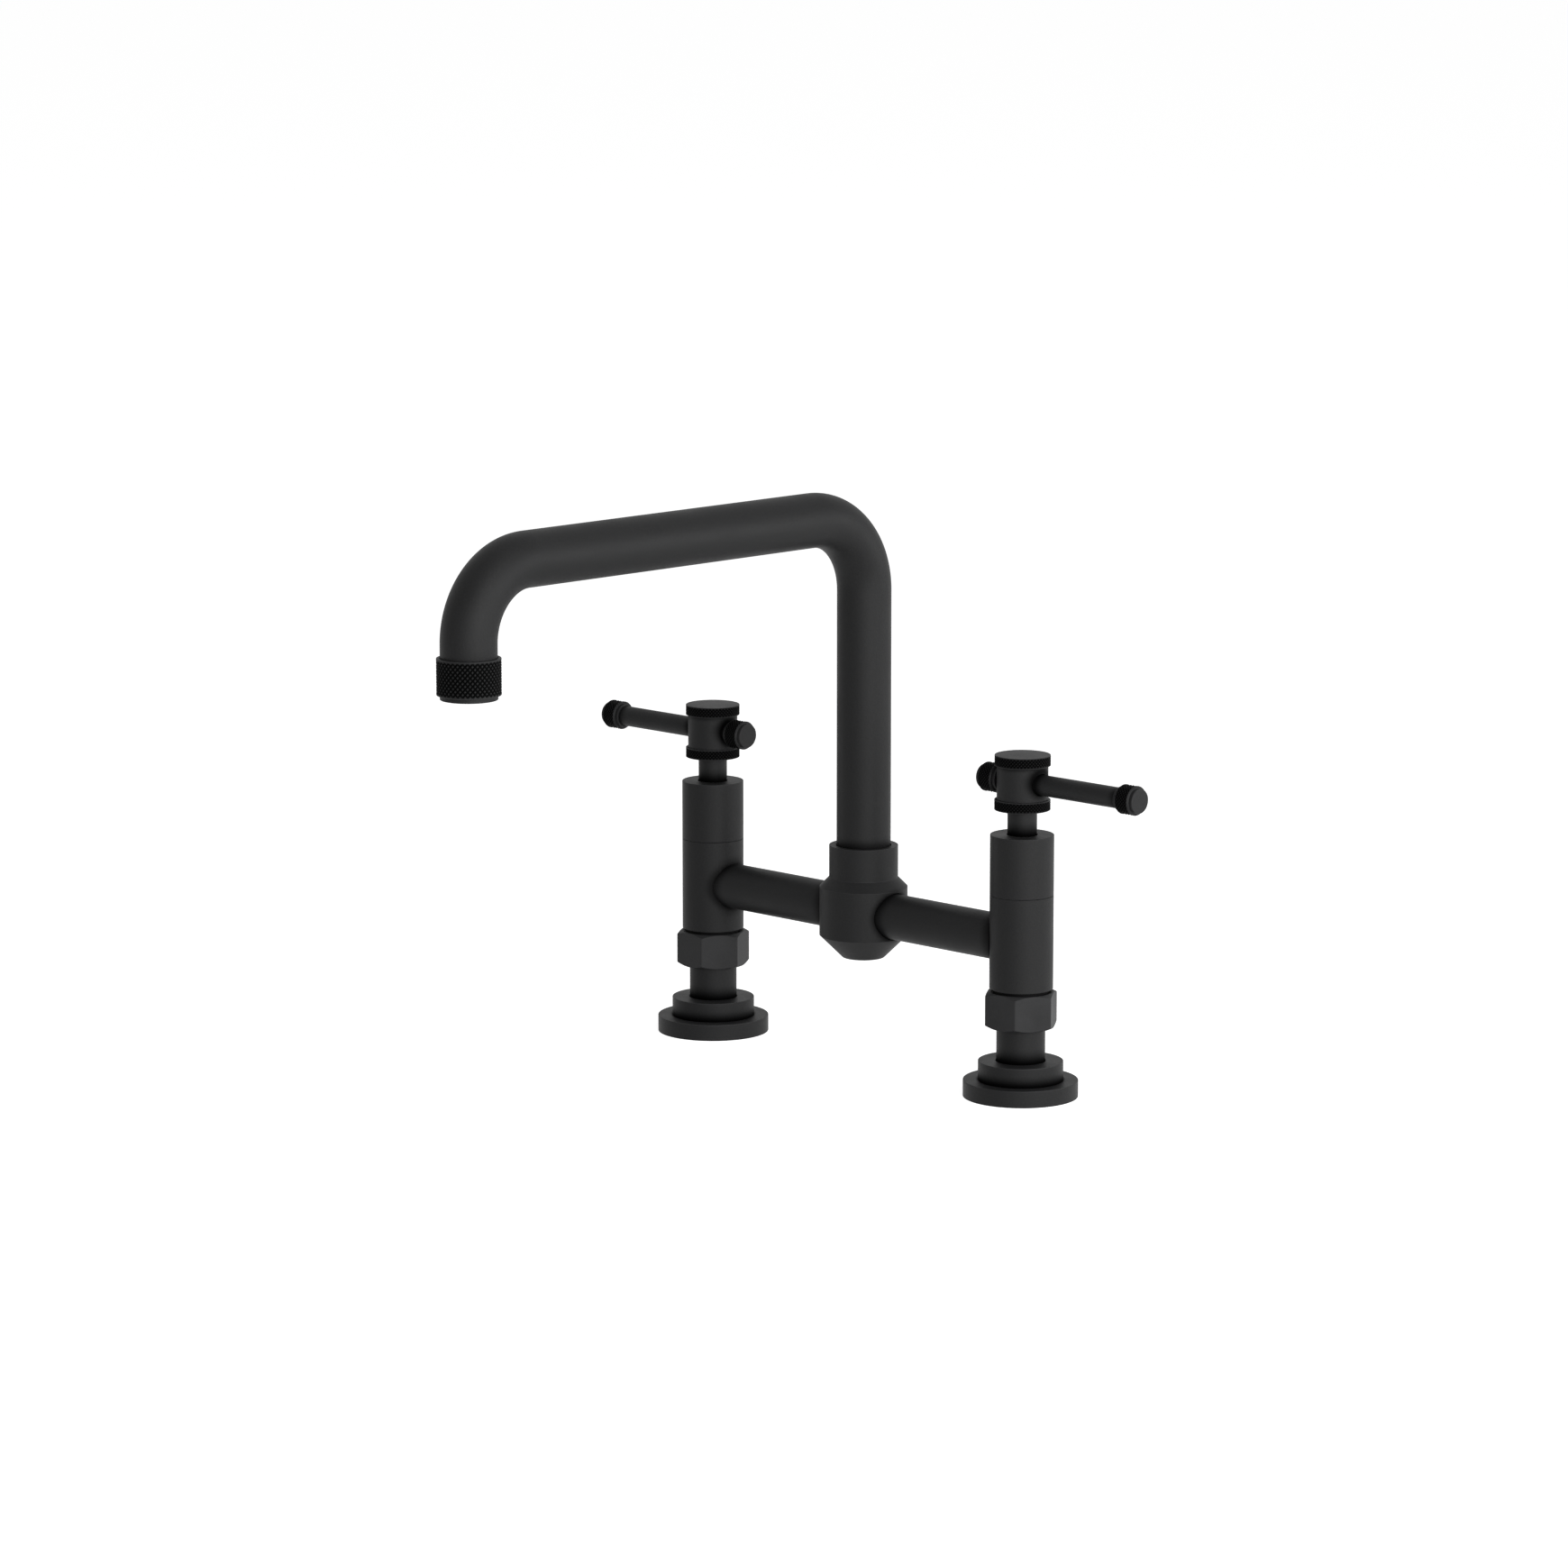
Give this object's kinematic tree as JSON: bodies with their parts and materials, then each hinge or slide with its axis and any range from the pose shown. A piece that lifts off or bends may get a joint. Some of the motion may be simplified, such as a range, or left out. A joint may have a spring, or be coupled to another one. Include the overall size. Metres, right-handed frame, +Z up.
{
  "type": "bridge kitchen faucet",
  "caption": "Deck-mounted bridge kitchen faucet with quarter-turn valve columns, a tall swivel spout with a knurled aerator, and knurled T-bar handles.",
  "frame": {"origin": "on the deck, midway between the valve columns, under the riser's axis", "axes": "+X along the bridge to the right-hand column, -Y the way the spout points, +Z up"},
  "size_m": [0.3474, 0.2933, 0.2764],
  "materials": {
    "matte_black": "matte black coating",
    "knurled_black": "matte black coating over diamond knurling",
    "brass": "turned brass",
    "steel": "plain steel",
    "rubber": "black rubber",
    "ceramic": "lapped white ceramic",
    "plastic": "dark moulded plastic"
  },
  "bodies": {
    "bridge_body": {"left_deck_flange": "matte_black", "left_deck_gasket": "rubber", "left_tailpiece": "matte_black", "left_union_nut": "matte_black", "left_union_washer": "rubber", "left_valve_body": "matte_black", "left_bonnet": "matte_black", "left_seat_seal": "rubber", "left_cartridge_body": "brass", "left_fixed_disc": "ceramic", "right_deck_flange": "matte_black", "right_deck_gasket": "rubber", "right_tailpiece": "matte_black", "right_union_nut": "matte_black", "right_union_washer": "rubber", "right_valve_body": "matte_black", "right_bonnet": "matte_black", "right_seat_seal": "rubber", "right_cartridge_body": "brass", "right_fixed_disc": "ceramic", "left_bridge_pipe": "matte_black", "right_bridge_pipe": "matte_black", "centre_body": "matte_black", "slip_ring": "plastic", "spout_grub_screw": "steel"},
    "left_handle": {"left_moving_disc": "ceramic", "left_spindle": "brass", "left_handle_hub": "matte_black", "left_hub_grub_screw": "steel", "left_lower_collar": "knurled_black", "left_top_cap": "knurled_black", "left_lever_rod": "matte_black", "left_lever_grub_screw": "steel", "left_long_knob": "knurled_black", "left_short_knob": "knurled_black"},
    "right_handle": {"right_moving_disc": "ceramic", "right_spindle": "brass", "right_handle_hub": "matte_black", "right_hub_grub_screw": "steel", "right_lower_collar": "knurled_black", "right_top_cap": "knurled_black", "right_lever_rod": "matte_black", "right_lever_grub_screw": "steel", "right_long_knob": "knurled_black", "right_short_knob": "knurled_black"},
    "spout": {"spout_tube": "matte_black", "swivel_spigot": "brass", "lower_oring": "rubber", "upper_oring": "rubber", "outlet_spigot": "brass", "aerator_shell": "knurled_black", "aerator_insert": "plastic", "aerator_washer": "rubber"}
  },
  "joints": [
    {"name": "left_handle_turn", "type": "hinge", "parent": "bridge_body", "child": "left_handle", "pos_m": [-0.1016, 0, 0.1482], "axis": [0, 0, 1], "range_deg": [0, 90]},
    {"name": "right_handle_turn", "type": "hinge", "parent": "bridge_body", "child": "right_handle", "pos_m": [0.1016, 0, 0.1482], "axis": [0, 0, 1], "range_deg": [-90, 0]},
    {"name": "spout_swivel", "type": "hinge", "parent": "bridge_body", "child": "spout", "pos_m": [0, 0, 0.1], "axis": [0, 0, 1], "continuous": true}
  ]
}
